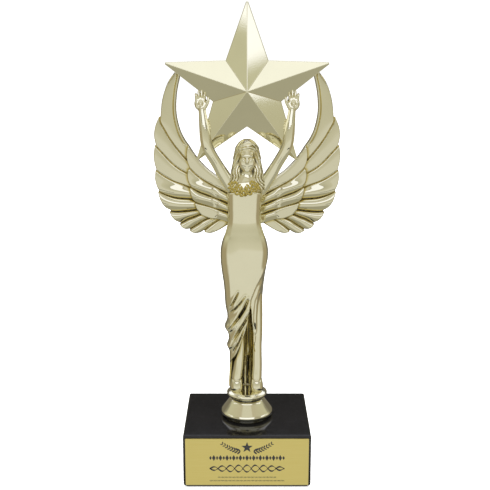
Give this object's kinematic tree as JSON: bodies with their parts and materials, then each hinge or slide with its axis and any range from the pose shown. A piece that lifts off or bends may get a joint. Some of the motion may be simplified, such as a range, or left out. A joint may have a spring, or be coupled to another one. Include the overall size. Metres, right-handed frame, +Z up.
{
  "type": "star trophy",
  "caption": "Award trophy: a winged figure in a long dress holds up a five-pointed star, on a flared riser and a stone block with a nameplate.",
  "frame": {"origin": "middle of the felt's underside, where the trophy stands on a table", "axes": "+Z up, the figure and the nameplate face -Y, the figure's left hand is on the +X side"},
  "size_m": [0.1304, 0.0772, 0.3294],
  "materials": {
    "block_stone": "polished black",
    "felt": "short black nap",
    "plate_brass": "satin",
    "tape": "double-sided foam tape",
    "zinc_steel": "zinc plated",
    "riser_gold": "vacuum-metallised pale gold",
    "figure_gold": "vacuum-metallised pale gold",
    "wing_gold": "vacuum-metallised pale gold",
    "star_gold": "vacuum-metallised pale gold"
  },
  "bodies": {
    "root": {"base_block": "block_stone", "base_felt": "felt", "nameplate": "plate_brass", "nameplate_tape": "tape", "tie_rod": "zinc_steel", "pocket_washer": "zinc_steel", "lock_washer": "zinc_steel", "pocket_nut": "zinc_steel", "foot_nut": "zinc_steel", "riser_cone": "riser_gold", "foot_disc": "riser_gold", "figure_front": "figure_gold", "figure_back": "figure_gold", "left_arm": "figure_gold", "right_arm": "figure_gold", "left_wing": "wing_gold", "right_wing": "wing_gold", "wing_screws": "zinc_steel", "star_front": "star_gold", "star_back": "star_gold", "star_screws": "zinc_steel"}
  },
  "joints": []
}
